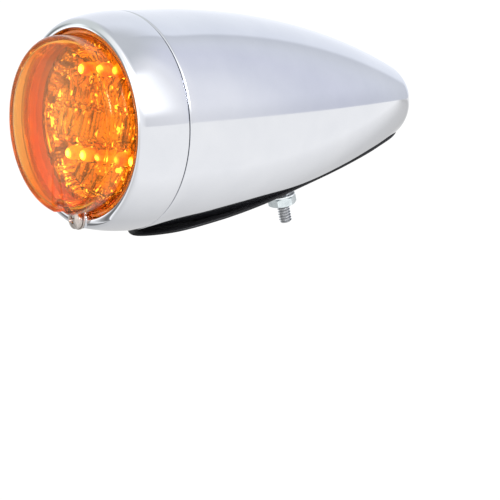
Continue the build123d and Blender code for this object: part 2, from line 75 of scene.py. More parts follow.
# Lens screw and module bosses
SCREW_AXIS_R = 32.6
SCREW_R = 1.753
SCREW_SEAT_Y = -1.95
SCREW_TIP_Y = 21.8
SCREW_PITCH = 25.4 / 32
SCREW_HEAD_R = 3.4
SCREW_HEAD_T = 2.3
SCREW_CROWN_R = 0.93 * SCREW_HEAD_R
SCREW_CHAMFER = 0.4
SCREW_BOSS_R = 3.4
SCREW_BOSS_END_Y = 26.0
SCREW_HOLE_R = SCREW_R + 0.06
SCREW_HOLE_END_Y = 24.0
MODULE_BOSSES = [(32.4 * cos(radians(a)), 32.4 * sin(radians(a))) for a in (90.0, 210.0, 330.0)]
MODULE_BOSS_R = 3.2
MODULE_BOSS_END_Y = 22.5
MODULE_HOLE_R = 1.36
BOSS_FRONT_Y = SPIGOT_FRONT_Y + 0.05

# Bezel
OPENING_R = 32.5
BEZEL_BORE_R = 36.4
POCKET_R = 35.4
LEDGE_Y = 2.6
POCKET_END_Y = 6.3
TAPER_R = 60.0
TAPER_TURN = 15.0
LIP_R = 3.0
LIP_TURN = 95.0
LIP_EDGE_R = 0.5
EAR_R = 4.2
EAR_LIMIT_R = 35.7
EAR_FRONT_Y = -1.2
EAR_BACK_Y = 3.2
EAR_SOFT = 0.4
EAR_HOLE_R = 2.05

# Lens
LENS_WALL_R = 30.8
LENS_FACE_Y = -9.8
LENS_CROWN = 0.7
LENS_RIM_R = 2.2
LENS_T = 2.0
COLLAR_R = 32.1
COLLAR_Y = 0.5
FLANGE_R = 35.1
FLANGE_Y = 3.4
FLANGE_BACK_Y = 4.9
SCALLOP_R = 4.9
LENS_DRAFT = 0.4
WALL_FILLET = 0.25
COLLAR_SOFT = 0.3
FLANGE_SOFT = 0.15
EDGE_BLEND = 0.4
FACE_RINGS = 14
SCALLOP_HALF_TURN = 14.0
SCALLOP_STEPS = 72
PLAIN_STEPS = 232
# Where the painted light on the lens begins and where it is palest, in lamp x
AMBER_DEEP_X = -14.0
AMBER_PALE_X = -25.0

# Seal
SEAL_R = 35.3
SEAL_BORE_R = 33.0
SEAL_FRONT_Y = 2.65
SEAL_BACK_Y = 3.35
SEAL_SOFT = 0.2
SEAL_LEAST = 0.8
SEAL_SCALLOP_R = 5.1
SEAL_BLEND = 0.3

# Reflector and LEDs
DISH_FLOOR_Y = 12.4
DISH_RIM_Y = 4.6
DISH_FLOOR_R = 24.6
DISH_RIM_R = 26.2
DISH_EDGE_R = 27.4
LED_R = 2.5
LED_HOLE_R = 3.1
LED_BACK_Y = 16.0
LED_DOME_Y = 9.9
LED_FLANGE_R = 2.9
LED_FLANGE_T = 1.0
UPPER_LEDS = [(x, 18.0) for x in (-8.8, 0.0, 8.8)]
LOWER_LEDS = [(x, -12.0) for x in (-17.6, -8.8, 0.0, 8.8, 17.6)]

# Stud, nut and washer
STUD_R = 2.413
STUD_PITCH = 25.4 / 24
STUD_END = -18.7
STUD_SEAT = 6.3
STUD_HEAD_T = 3.0
STUD_HOLE_R = 2.7
HEX_AF = 9.525
HEX_CHAMFER = 0.75
HEX_CHAMFER_T = 0.43
STUD_CHAMFER = 0.6
NUT_TOP = -8.4
NUT_T = 3.2
NUT_BORE_R = 2.47
NUT_MOUTH = 0.35
WASHER_LOW = -8.35
WASHER_T = 0.8
WASHER_R = 5.3
WASHER_SOFT = 0.18

# Cable outlet
OUTLET_S = 22.0
OUTLET_BORE_R = 2.6
OUTLET_HOLE_R = 4.5
OUTLET_FLANGE_R = 6.2
OUTLET_FLANGE_T = 0.8
OUTLET_SOFT = 0.4
OUTLET_MOUTH = 0.6


# ---- places

def lamp(x, y, z):
    """A lamp place in the row frame, in metres."""
    return Vector((x * MM, OPENING_Y + y * MM, AXIS_Z + z * MM))


def foot(x, s, h):
    """A foot place in the row frame, in metres."""
    return Vector((x * MM, (s * cos(TILT) - h * sin(TILT)) * MM, (s * sin(TILT) + h * cos(TILT)) * MM))


def arc(centre, radius, start, end, steps):
    """Points of an arc, with angles in degrees from the first coordinate's axis."""
    angles = [radians(start + (end - start) * i / steps) for i in range(steps + 1)]
    return [(centre[0] + radius * cos(a), centre[1] + radius * sin(a)) for a in angles]


def rounded_ring(inner, outer, low, high, soft, steps=4):
    """Section of a flat ring with softened edges."""
    section = arc((outer - soft, low + soft), soft, -90, 0, steps)
    section += arc((outer - soft, high - soft), soft, 0, 90, steps)
    section += arc((inner + soft, high - soft), soft, 90, 180, steps)
    return section + arc((inner + soft, low + soft), soft, 180, 270, steps)


# ---- meshes

def add_object(name, points, faces):
    """A mesh object in the scene, from points in metres."""
    mesh = bpy.data.meshes.new(name)
    mesh.from_pydata([tuple(p) for p in points], [], faces)
    mesh.update()
    obj = bpy.data.objects.new(name, mesh)
    bpy.context.scene.collection.objects.link(obj)
    return obj


def outward(obj):
    """Turn all faces outwards and merge doubled points."""
    bm = bmesh.new()
    bm.from_mesh(obj.data)
    bmesh.ops.remove_doubles(bm, verts=bm.verts, dist=0.2e-6)
    bmesh.ops.recalc_face_normals(bm, faces=bm.faces)
    bm.to_mesh(obj.data)
    bm.free()
    return obj


def band(one, two):
    """Faces between two closed loops of point numbers; a doubled corner is dropped."""
    faces = []
    for i in range(len(one)):
        k = (i + 1) % len(one)
        corners = [one[i], one[k], two[k], two[i]]
        face = [c for n, c in enumerate(corners) if c not in corners[:n]]
        if len(face) > 2:
            faces.append(face)
    return faces


def bands(loops):
    """Faces between loops, each with the next."""
    return [face for one, two in zip(loops, loops[1:]) for face in band(one, two)]


def numbers(count, loops):
    """Point numbers of equal loops, one after another."""
    return [list(range(i * count, (i + 1) * count)) for i in range(loops)]


def lathe(name, profile, place, steps=ROUND, closed=True):
    """Turn a profile of (radius, along) round a line; place(x, along, z) maps to the row frame.
    A radius of zero is a pole.  A closed profile comes back to its first point."""
    points, rings = [], []
    for radius, along in profile:
        if radius < 1e-9:
            rings.append([len(points)] * steps)
            points.append(place(0, along, 0))
            continue
        rings.append(list(range(len(points), len(points) + steps)))
        for i in range(steps):
            a = 2 * pi * i / steps
            points.append(place(radius * cos(a), along, radius * sin(a)))
    if closed:
        rings.append(rings[0])
    return outward(add_object(name, points, bands(rings)))


def lamp_lathe(name, profile, steps=ROUND, closed=True, x=0.0, z=0.0):
    """A lathe about a line parallel to the lamp's axis."""
    return lathe(name, profile, lambda a, y, b: lamp(x + a, y, z + b), steps, closed)


def foot_lathe(name, profile, steps=96, closed=True, s=0.0):
    """A lathe about a line square to the pad."""
    return lathe(name, profile, lambda a, h, b: foot(a, s + b, h), steps, closed)


def boolean(obj, cutter, operation):
    """Apply a boolean with another object, and remove that object."""
    modifier = obj.modifiers.new("boolean", "BOOLEAN")
    modifier.operation = operation
    modifier.solver = "EXACT"
    modifier.object = cutter
    bpy.context.view_layer.update()
    evaluated = obj.evaluated_get(bpy.context.evaluated_depsgraph_get())
    mesh = bpy.data.meshes.new_from_object(evaluated)
    obj.modifiers.clear()
    old = obj.data
    obj.data = mesh
    bpy.data.meshes.remove(old)
    bpy.data.objects.remove(cutter)
    return obj


def rod(name, radius, start, end, x=0.0, z=0.0, steps=64):
    """A cutter: a cylinder parallel to the lamp's axis."""
    return lamp_lathe(name, [(0, start), (radius, start), (radius, end), (0, end)], steps, False, x, z)


def upright(name, radius, low, high, s=0.0, steps=64):
    """A cutter: a cylinder square to the pad."""
    return foot_lathe(name, [(0, low), (radius, low), (radius, high), (0, high)], steps, False, s)


def slice_off(obj, point, away):
    """Cut off what lies beyond a plane and close the mesh there."""
    bm = bmesh.new()
    bm.from_mesh(obj.data)
    geometry = bm.verts[:] + bm.edges[:] + bm.faces[:]
    cut = bmesh.ops.bisect_plane(
        bm, geom=geometry, dist=1e-7, plane_co=point, plane_no=away, clear_outer=True
    )
    edges = [e for e in cut["geom_cut"] if isinstance(e, bmesh.types.BMEdge)]
    bmesh.ops.contextual_create(bm, geom=edges)
    bm.to_mesh(obj.data)
    bm.free()
    return obj


def join(name, objects):
    """Put several meshes into the first object."""
    bm = bmesh.new()
    for obj in objects:
        bm.from_mesh(obj.data)
    bm.to_mesh(objects[0].data)
    bm.free()
    for obj in objects[1:]:
        bpy.data.objects.remove(obj)
    objects[0].name = name
    return objects[0]


def install(obj, body, material, replaces, angle=30.0):
    """Shade a finished piece smooth, but sharp across edges that turn by more than an angle, give it its
    material, hang it under its body's empty, and hide the CAD part that it replaces."""
    mesh = obj.data
    mesh.polygons.foreach_set("use_smooth", [True] * len(mesh.polygons))
    mesh.set_sharp_from_angle(angle=radians(angle))
    mesh.update()
    mesh.materials.clear()
    mesh.materials.append(material)
    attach(obj, body)
    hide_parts(replaces)


# ---- materials

class Nodes:
    """A node tree, with short calls for the nodes that the materials and the studio share."""

    def __init__(self, tree):
        self.tree = tree

    def add(self, kind, **values):
        node = self.tree.nodes.new(kind)
        for key, value in values.items():
            setattr(node, key, value)
        return node

    def link(self, out, into):
        self.tree.links.new(out, into)

    def feed(self, into, value):
        """Give an input another node's output, a colour or a number."""
        if isinstance(value, bpy.types.NodeSocket):
            self.link(value, into)
        else:
            into.default_value = (*value, 1.0) if isinstance(value, tuple) else value

    def maths(self, operation, one, two=0.0):
        node = self.add("ShaderNodeMath", operation=operation)
        self.feed(node.inputs[0], one)
        self.feed(node.inputs[1], two)
        return node.outputs["Value"]

    def mix(self, factor, one, two, blend="MIX"):
        node = self.add("ShaderNodeMix", data_type="RGBA", blend_type=blend)
        self.feed(node.inputs["Factor"], factor)
        self.feed(node.inputs[6], one)
        self.feed(node.inputs[7], two)
        return node.outputs[2]

    def by_ray(self, ray, one, two):
        """Shader one, but shader two for one kind of ray."""
        node = self.add("ShaderNodeMixShader")
        self.link(self.add("ShaderNodeLightPath").outputs[ray], node.inputs["Fac"])
        self.link(one, node.inputs[1])
        self.link(two, node.inputs[2])
        return node.outputs["Shader"]

    def parts(self, vector):
        """The x, y and z of a vector."""
        node = self.add("ShaderNodeSeparateXYZ")
        self.link(vector, node.inputs["Vector"])
        return [node.outputs[axis] for axis in "XYZ"]

    def ramp(self, value, stops):
        """A colour read off a list of (place from 0 to 1, colour)."""
        node = self.add("ShaderNodeValToRGB")
        ramp = node.color_ramp
        while len(ramp.elements) < len(stops):
            ramp.elements.new(0.5)
        for element, (place, colour) in zip(ramp.elements, stops):
            element.position = place
            element.color = (*colour, 1.0)
        self.link(value, node.inputs["Fac"])
        return node.outputs["Color"]

    def spread(self, value, low, high, start=0.3, end=0.7, **kind):
        """A value carried from the range start to end into the range low to high."""
        node = self.add("ShaderNodeMapRange", **kind)
        node.inputs["From Min"].default_value = start
        node.inputs["From Max"].default_value = end
        node.inputs["To Min"].default_value = low
        node.inputs["To Max"].default_value = high
        self.link(value, node.inputs["Value"])
        return node.outputs["Result"]

    def step(self, value, start, end):
        """A smooth step from 0 at start to 1 at end."""
        return self.spread(value, 0.0, 1.0, start, end, interpolation_type="SMOOTHSTEP")


class Coat(Nodes):
    """A material: one Principled shader, patterned in the object's own coordinates."""

    def __init__(self, name):
        self.material = bpy.data.materials.new(name)
        self.material.use_nodes = True
        super().__init__(self.material.node_tree)
        self.shader = self.tree.nodes["Principled BSDF"]
        self.output = self.tree.nodes["Material Output"]
        self.place = self.add("ShaderNodeTexCoord").outputs["Object"]

    def set(self, **values):
        """Set or link inputs of the shader."""
        for key, value in values.items():
            self.feed(self.shader.inputs[key.replace("_", " ")], value)

    def stretched(self, x, y, z):
        node = self.add("ShaderNodeMapping")
        node.inputs["Scale"].default_value = (x, y, z)
        self.link(self.place, node.inputs["Vector"])
        return node.outputs["Vector"]

    def noise(self, per_metre, detail=4.0, rough=0.5, where=None):
        node = self.add("ShaderNodeTexNoise")
        node.inputs["Scale"].default_value = per_metre
        node.inputs["Detail"].default_value = detail
        node.inputs["Roughness"].default_value = rough
        self.link(where or self.place, node.inputs["Vector"])
        return node.outputs["Fac"]

    def bump(self, height, strength, depth_mm, below=None):
        node = self.add("ShaderNodeBump")
        node.inputs["Strength"].default_value = strength
        node.inputs["Distance"].default_value = depth_mm * MM
        self.link(height, node.inputs["Height"])
        if below is not None:
            self.link(below, node.inputs["Normal"])
        return node.outputs["Normal"]

    def colour(self, value, dark, light):
        self.set(Base_Color=self.ramp(value, [(0.3, dark), (0.7, light)]))

    def roughness(self, value, low, high):
        self.set(Roughness=self.spread(value, low, high))

    def normal(self, out):
        self.set(Normal=out)


def make_chrome(name, fine=1.0):
    """Show chrome: bright, a touch blue, with polishing haze and hairlines."""
    n = Coat(name)
    n.set(Metallic=1.0)
    haze = n.noise(70, 3.0)
    n.colour(haze, (0.585, 0.6, 0.635), (0.615, 0.628, 0.66))
    n.roughness(n.noise(160, 5.0, 0.6), 0.055 * fine, 0.085 * fine)
    hairs = n.noise(900, 2.0, 0.5, n.stretched(1.0, 0.06, 1.0))
    n.normal(n.bump(hairs, 0.02, 0.01))
    return n.material


def make_steel(name, dark, light, rough, streak=(1, 1, 0.1)):
    """Plated or bare steel with a directional grain."""
    n = Coat(name)
    n.set(Metallic=1.0)
    n.colour(n.noise(450, 5.0, 0.6), dark, light)
    grain = n.noise(1800, 4.0, 0.6, n.stretched(*streak))
    n.roughness(grain, rough * 0.75, rough * 1.25)
    n.normal(n.bump(grain, 0.35, 0.02))
    return n.material


def make_plastic(name, dark, light, rough):
    """Moulded plastic with a fine spark-eroded texture."""
    n = Coat(name)
    n.colour(n.noise(220, 4.0), dark, light)
    texture = n.noise(1500, 5.0, 0.65)
    n.roughness(texture, rough * 0.85, rough * 1.15)
    n.normal(n.bump(texture, 0.3, 0.02))
    return n.material


def make_rubber(name, tint=(0.004, 0.004, 0.0045)):
    """Black rubber: matt skin with a waxy bloom and fine pits."""
    n = Coat(name)
    n.set(Specular_IOR_Level=0.16, Sheen_Weight=0.01, Sheen_Roughness=0.5)
    bloom = n.noise(90, 5.0, 0.6)
    n.colour(bloom, tint, tuple(1.9 * c for c in tint))
    n.roughness(n.noise(600, 4.0), 0.34, 0.5)
    pits = n.noise(2600, 3.0, 0.55)
    n.normal(n.bump(pits, 0.25, 0.03, n.bump(bloom, 0.1, 0.1)))
    return n.material


def make_amber(name, clearness):
    """Amber polycarbonate with slight flow marks and faint rings, and painted light: its tint turns paler
    towards -x.
    The light of the studio passes it as tinted light."""
    n = Coat(name)
    n.set(Transmission_Weight=clearness, IOR=1.42, Specular_Tint=(1.0, 0.7, 0.42))
    flow = n.noise(45, 3.0, 0.5, n.stretched(1.0, 0.35, 1.0))
    deep = n.ramp(flow, [(0.3, (0.98, 0.4, 0.045)), (0.7, (0.98, 0.46, 0.07))])
    # Painted light: the tint fades to a pale amber towards -x, where light shows through the lens's side.
    painted_pale_side = n.spread(n.parts(n.place)[0], 0.0, 1.0, AMBER_DEEP_X * MM, AMBER_PALE_X * MM)
    tint = n.mix(painted_pale_side, deep, (0.94, 0.66, 0.32))
    rings = n.noise(1.0, 3.0, 0.6, n.stretched(1, 650, 1))
    bands = n.ramp(rings, [(0.42, (0.84, 0.78, 0.75)), (0.56, (1.0, 1.0, 1.0))])
    n.set(Base_Color=n.mix(1.0, tint, bands, "MULTIPLY"))
    n.roughness(n.noise(300, 3.0), 0.008, 0.03)
    n.normal(n.bump(flow, 0.05, 0.05))
    clear = n.add("ShaderNodeBsdfTransparent")
    clear.inputs["Color"].default_value = (1.0, 0.5, 0.12, 1.0)
    surface = n.by_ray("Is Shadow Ray", n.shader.outputs["BSDF"], clear.outputs["BSDF"])
    n.link(surface, n.output.inputs["Surface"])
    return n.material


def make_plating():
    """Vacuum plated plastic: a rippled mirror, darker in strips and flecks, and painted glints: sparse
    flecks that glow faintly, standing in for LED light caught in the plating.
    """
    n = Coat("reflector_plating")
    # Metallic mirror; the emission colour is the colour of the painted glints set below.
    n.set(Metallic=1.0, Emission_Color=(1.0, 0.72, 0.3))
    strips = n.noise(1.0, 1.0, 0.5, n.stretched(420, 1, 120))
    dull = n.ramp(strips, [(0.37, (0.22, 0.2, 0.18)), (0.47, (0.9, 0.9, 0.9))])
    flecks = n.ramp(n.noise(1300, 2.0, 0.7), [(0.36, (0.35, 0.33, 0.32)), (0.46, (1.0, 1.0, 1.0))])
    n.set(Base_Color=n.mix(1.0, dull, flecks, "MULTIPLY"))
    # Painted glints: the plating itself glows in sparse flecks, standing in for LED light caught in its
    # facets.
    painted_glints = n.noise(1.0, 2.0, 0.6, n.stretched(520, 520, 260))
    n.set(Emission_Strength=n.spread(painted_glints, 0.0, 5.0, 0.63, 0.7))
    n.roughness(n.noise(900, 4.0), 0.05, 0.11)
    n.normal(n.bump(n.noise(1100, 2.0, 0.5), 0.35, 0.05))
    return n.material


def make_glow():
    """Amber LED resin, lit: patchy, brightest on the dome's crown and dull amber on its side."""
    n = Coat("led_resin")
    n.set(Roughness=0.12)
    grain = n.noise(700, 3.0)
    n.colour(grain, (0.9, 0.42, 0.05), (1.0, 0.6, 0.1))
    facing = n.parts(n.add("ShaderNodeNewGeometry").outputs["Normal"])[1]
    crown = n.spread(facing, 1.0, 0.0, -0.97, -0.5)
    tint = n.ramp(crown, [(0.0, (1.0, 0.45, 0.05)), (1.0, (1.0, 0.68, 0.27))])
    n.set(Emission_Color=tint)
    strength = n.spread(n.maths("POWER", crown, 3.5), 1.2, 24.0, 0.0, 1.0)
    patches = n.spread(n.noise(210, 2.0), 0.15, 1.4, 0.4, 0.6)
    n.set(Emission_Strength=n.maths("MULTIPLY", strength, patches))
    n.normal(n.bump(grain, 0.05, 0.02))
    return n.material


def make_laminate():
    """Circuit board: green solder mask over glass weave."""
    n = Coat("board_laminate")
    weave = n.noise(2200, 2.0, 0.5, n.stretched(1.0, 1.0, 0.25))
    n.colour(n.noise(160, 5.0), (0.012, 0.09, 0.03), (0.02, 0.16, 0.06))
    n.roughness(weave, 0.3, 0.45)
    n.normal(n.bump(weave, 0.3, 0.03))
    return n.material


def make_brass():
    """Tinned brass terminals, dulled in patches."""
    n = Coat("tinned_brass")
    n.set(Metallic=1.0)
    n.colour(n.noise(500, 5.0, 0.6), (0.62, 0.52, 0.34), (0.78, 0.74, 0.66))
    grain = n.noise(1700, 4.0)
    n.roughness(grain, 0.25, 0.42)
    n.normal(n.bump(grain, 0.3, 0.02))
    return n.material


chrome = make_chrome("housing_chrome")
bezel_chrome = make_chrome("bezel_chrome", 0.85)
amber = make_amber("amber_lens", 0.95)
amber_collar = make_amber("amber_lens_collar", 0.55)
rubber = make_rubber("pad_rubber")
seal_rubber = make_rubber("seal_rubber", (0.02, 0.02, 0.021))
spring_steel = make_steel("spring_steel", (0.42, 0.43, 0.45), (0.56, 0.57, 0.6), 0.3)
screw_steel = make_steel("screw_steel", (0.44, 0.4, 0.37), (0.6, 0.55, 0.52), 0.34, (1, 0.15, 1))
plating = make_plating()
glow = make_glow()
laminate = make_laminate()
component_plastic = make_plastic("component_plastic", (0.015, 0.015, 0.017), (0.035, 0.035, 0.04), 0.5)
module_plastic = make_plastic("module_plastic", (0.018, 0.018, 0.02), (0.034, 0.034, 0.037), 0.42)
zinc_steel = make_steel("zinc_steel", (0.6, 0.62, 0.64), (0.76, 0.78, 0.8), 0.32)
tinned_brass = make_brass()
connector_nylon = make_plastic("connector_nylon", (0.55, 0.54, 0.5), (0.68, 0.67, 0.62), 0.4)
lead_insulation = make_plastic("lead_insulation", (0.01, 0.01, 0.011), (0.022, 0.022, 0.024), 0.38)
# The stud's zinc is the darkest of the zinc parts: painted shade, standing in for the shade down its thread,
# set into its colour.
stud_zinc = make_steel("stud_zinc", (0.34, 0.35, 0.36), (0.5, 0.51, 0.53), 0.24, (1, 1, 0.25))
nut_zinc = make_steel("nut_zinc", (0.48, 0.53, 0.55), (0.66, 0.72, 0.74), 0.24, (1, 1, 0.3))
washer_zinc = make_steel("washer_zinc", (0.62, 0.66, 0.68), (0.8, 0.84, 0.86), 0.26, (0.3, 1, 1))

CAD_MATERIALS = {
    "lens_retainer": spring_steel,
    "lens_screw_washer": screw_steel,
    "led_board": laminate,
    "driver_components": component_plastic,
    "module_body": module_plastic,
    "module_screws": zinc_steel,
    "terminal_socket": connector_nylon,
    "terminal_pins": tinned_brass,
    "ground_tab": tinned_brass,
    "spade_connector": connector_nylon,
    "ground_lead": lead_insulation,
    "ring_terminal": tinned_brass,
    "stud_plate": zinc_steel,
    "plate_screws": zinc_steel,
}
for node, material in CAD_MATERIALS.items():
    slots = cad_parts[node].data.materials
    for i in range(len(slots)):
        slots[i] = material


# ---- chrome shells

def bullet_profile(offset, start_y, steps):
    """Radius and y of the bullet's skin from start_y to its tip, shrunk inwards by an offset."""
    axis_r = BODY_R - OGIVE_R
    nose_y = OGIVE_START_Y + sqrt((OGIVE_R - NOSE_R) ** 2 - axis_r**2)
    turn = degrees(atan2(nose_y - OGIVE_START_Y, -axis_r))
    barrel = [(BODY_R - offset, start_y + (OGIVE_START_Y - start_y) * i / 6) for i in range(6)]
    ogive = arc((axis_r, OGIVE_START_Y), OGIVE_R - offset, 0, turn, steps)
    nose = arc((0, nose_y), NOSE_R - offset, turn, 90, steps // 2)
    return barrel + ogive[:-1] + nose[:-1] + [(0, nose_y + NOSE_R - offset)]


def cut_above_foot(obj, height):
    """Cut a mesh flat at a height over the pad's underside and close it there."""
    return slice_off(obj, foot(0, 0, height), -foot(0, 0, 1) / MM)


def make_housing():
    """Rear shell: outer skin and inner wall cut flat for the floor, joined at the spigot."""
    edge = arc((BODY_R - SEAM_ROUND, HOUSING_Y + SEAM_ROUND), SEAM_ROUND, -90, 0, 8)
    tip = (SPIGOT_R - SPIGOT_CHAMFER, SPIGOT_FRONT_Y)
    outer = [tip, (SPIGOT_R, SPIGOT_FRONT_Y + SPIGOT_CHAMFER), (SPIGOT_R, HOUSING_Y)]
    outer += edge + bullet_profile(0, HOUSING_Y + 2 * SEAM_ROUND, 90)[1:]
    inner = [tip, (SPIGOT_BORE_R, SPIGOT_FRONT_Y), (SPIGOT_BORE_R, SHOULDER_Y)]
    inner += bullet_profile(WALL, SHOULDER_Y, 30)
    skin = cut_above_foot(lamp_lathe("rear_housing_shell", outer, closed=False), PAD_T)
    hollow = cut_above_foot(lamp_lathe("housing_hollow", inner, closed=False), FLOOR_TOP)
    shell = outward(join("rear_housing_shell", [skin, hollow]))
    bosses = [(SCREW_BOSS_R, SCREW_BOSS_END_Y, SCREW_HOLE_R, SCREW_HOLE_END_Y, 0.0, -SCREW_AXIS_R)]
    bosses += [(MODULE_BOSS_R, MODULE_BOSS_END_Y, MODULE_HOLE_R, SHOULDER_Y, x, z) for x, z in MODULE_BOSSES]
    for boss_r, boss_end, hole_r, hole_end, x, z in bosses:
        shell = boolean(shell, rod("boss", boss_r, BOSS_FRONT_Y, boss_end, x, z), "UNION")
        shell = boolean(shell, rod("hole", hole_r, SPIGOT_FRONT_Y - PAST, hole_end, x, z), "DIFFERENCE")
    for radius, s in ((STUD_HOLE_R, 0.0), (OUTLET_HOLE_R, OUTLET_S)):
        shell = boolean(shell, upright("hole", radius, 0, FLOOR_TOP + PAST, s), "DIFFERENCE")
    install(shell, "housing", chrome, "rear_housing")


def arc_end(centre, reach, turn):
    """The point at a distance and an angle from a centre; the angle turns from outwards to the front."""
    return centre[0] + reach * cos(radians(turn)), centre[1] - reach * sin(radians(turn))


def make_ear():
    """The bezel's round ear for the lens screw, cut back to the bezel's outline."""
    centre = (EAR_R - EAR_SOFT, EAR_FRONT_Y + EAR_SOFT)
    face = [(0, EAR_FRONT_Y)] + arc(centre, EAR_SOFT, -90, 0, 5) + [(EAR_R, EAR_BACK_Y), (0, EAR_BACK_Y)]
    ear = lamp_lathe("ear", face, 96, False, z=-SCREW_AXIS_R)
    limit = rod("limit", EAR_LIMIT_R, EAR_FRONT_Y - PAST, EAR_BACK_Y + PAST, steps=ROUND)
    return boolean(ear, limit, "INTERSECT")


def make_bezel():
    """Trim ring: a long taper into a rolled lip, the lens's pocket, and the ear for the screw."""
    side_y = SEAM_Y - SEAM_ROUND
    taper_centre = (BODY_R - TAPER_R, side_y)
    lip_centre = arc_end(taper_centre, TAPER_R - LIP_R, TAPER_TURN)
    edge_centre = arc_end(lip_centre, LIP_R - LIP_EDGE_R, LIP_TURN)
    profile = arc((BODY_R - SEAM_ROUND, side_y), SEAM_ROUND, 90, 0, 8)
    profile += arc(taper_centre, TAPER_R, 0, -TAPER_TURN, 24)[1:]
    profile += arc(lip_centre, LIP_R, -TAPER_TURN, -LIP_TURN, 32)[1:]
    profile += arc(edge_centre, LIP_EDGE_R, -LIP_TURN, -180, 10)[1:]
    profile += [(OPENING_R, LEDGE_Y), (POCKET_R, LEDGE_Y), (POCKET_R, POCKET_END_Y)]
    profile += [(BEZEL_BORE_R, POCKET_END_Y), (BEZEL_BORE_R, SEAM_Y)]
    ring = lamp_lathe("front_bezel_ring", profile)
    ring = boolean(ring, make_ear(), "UNION")
    hole = rod("hole", EAR_HOLE_R, EAR_FRONT_Y - PAST, EAR_BACK_Y + PAST, z=-SCREW_AXIS_R)
    ring = boolean(ring, hole, "DIFFERENCE")
    install(ring, "bezel", bezel_chrome, "front_bezel")


make_housing()
make_bezel()


# ---- lens and seal

def scalloped(limit, angle, scallop_r, blend=0.7):
    """A radius kept clear of the screw: the smaller of a limit and the scallop's near side, blended."""
    turn = angle + pi / 2
    inside = scallop_r**2 - (SCREW_AXIS_R * sin(turn)) ** 2
    if inside <= 0 or cos(turn) < 0:
        return limit
    near = SCREW_AXIS_R * cos(turn) - sqrt(inside)
    gap = max(blend - abs(limit - near), 0) / blend
    return min(limit, near) - gap * gap * blend / 4


def lens_angles():
    """Angles round the lens, closer together at the scallop."""
    half = SCALLOP_HALF_TURN
    wide = [half + (360 - 2 * half) * i / PLAIN_STEPS for i in range(PLAIN_STEPS)]
    close = [-half + 2 * half * i / SCALLOP_STEPS for i in range(SCALLOP_STEPS)]
    return [radians(a - 90) for a in close + wide]


def ring_piece(name, sections, angles):
    """Closed mesh whose section is a loop of (radius, y), given afresh at each angle."""
    points = []
    for angle, section in zip(angles, sections):
        points += [lamp(r * cos(angle), y, r * sin(angle)) for r, y in section]
    loops = numbers(len(sections[0]), len(angles))
    return outward(add_object(name, points, bands(loops + loops[:1])))


def face_points(edge_r, centre_y, edge_y):
    """A crowned face's section from its edge to its centre."""
    shares = [1 - i / FACE_RINGS for i in range(1, FACE_RINGS + 1)]
    return [(edge_r * share, edge_y + (centre_y - edge_y) * (1 - share**2)) for share in shares]


def lens_section(angle):
    """Outline of the lens at one angle: outside from the flange's back to the centre, then the inside."""
    wall = scalloped(LENS_WALL_R, angle, SCALLOP_R)
    front = scalloped(LENS_WALL_R - LENS_DRAFT, angle, SCALLOP_R)
    collar = scalloped(COLLAR_R, angle, SCALLOP_R, EDGE_BLEND)
    flange = scalloped(FLANGE_R, angle, SCALLOP_R, EDGE_BLEND)
    inner_wall = scalloped(LENS_WALL_R - LENS_T, angle, SCALLOP_R + LENS_T)
    inner_front = scalloped(LENS_WALL_R - LENS_T - LENS_DRAFT, angle, SCALLOP_R + LENS_T)
    inner_rim = LENS_RIM_R - LENS_T / 2
    rim_y = LENS_FACE_Y + LENS_RIM_R
    inner_y = LENS_FACE_Y + LENS_T
    outline = [(flange, FLANGE_BACK_Y), (flange, FLANGE_Y + FLANGE_SOFT), (flange - FLANGE_SOFT, FLANGE_Y)]
    outline += [(collar, FLANGE_Y), (collar, COLLAR_Y + COLLAR_SOFT), (collar - COLLAR_SOFT, COLLAR_Y)]
    outline += [(wall + WALL_FILLET, COLLAR_Y), (wall, COLLAR_Y - WALL_FILLET)]
    outline += [(wall + (front - wall) * t, COLLAR_Y + (rim_y - COLLAR_Y) * t) for t in (0.35, 0.7)]
    outline += arc((front - LENS_RIM_R, rim_y), LENS_RIM_R, 0, -90, 10)
    outline += face_points(front - LENS_RIM_R, LENS_FACE_Y - LENS_CROWN, LENS_FACE_Y)
    outline += face_points(inner_front - inner_rim, inner_y - LENS_CROWN, inner_y)[::-1]
    outline += arc((inner_front - inner_rim, inner_y + inner_rim), inner_rim, -90, 0, 8)
    return outline + [(inner_wall, COLLAR_Y), (inner_wall, FLANGE_BACK_Y)]


def make_lens():
    """Amber cup with a rounded rim, a collar, a flange, and a scallop for the screw."""
    angles = lens_angles()
    lens = ring_piece("lens_cup", [lens_section(a) for a in angles], angles)
    install(lens, "bezel", amber, "lens", 35.0)
    lens.data.materials.append(amber_collar)
    for face in lens.data.polygons:
        reach = hypot(face.center.x, face.center.z - AXIS_Z)
        face.material_index = int(reach > (LENS_WALL_R + COLLAR_SOFT) * MM)


def make_seal():
    """Rubber ring under the lens's flange, notched round the screw."""
    angles = lens_angles()
    sections = []
    for angle in angles:
        outer = scalloped(SEAL_R, angle, SEAL_SCALLOP_R, SEAL_BLEND)
        inner = min(SEAL_BORE_R, outer - SEAL_LEAST)
        sections.append(rounded_ring(inner, outer, SEAL_FRONT_Y, SEAL_BACK_Y, SEAL_SOFT, 3))
    seal = ring_piece("lens_seal_ring", sections, angles)
    install(seal, "bezel", seal_rubber, "lens_seal")


make_lens()
make_seal()


# ---- reflector and LEDs

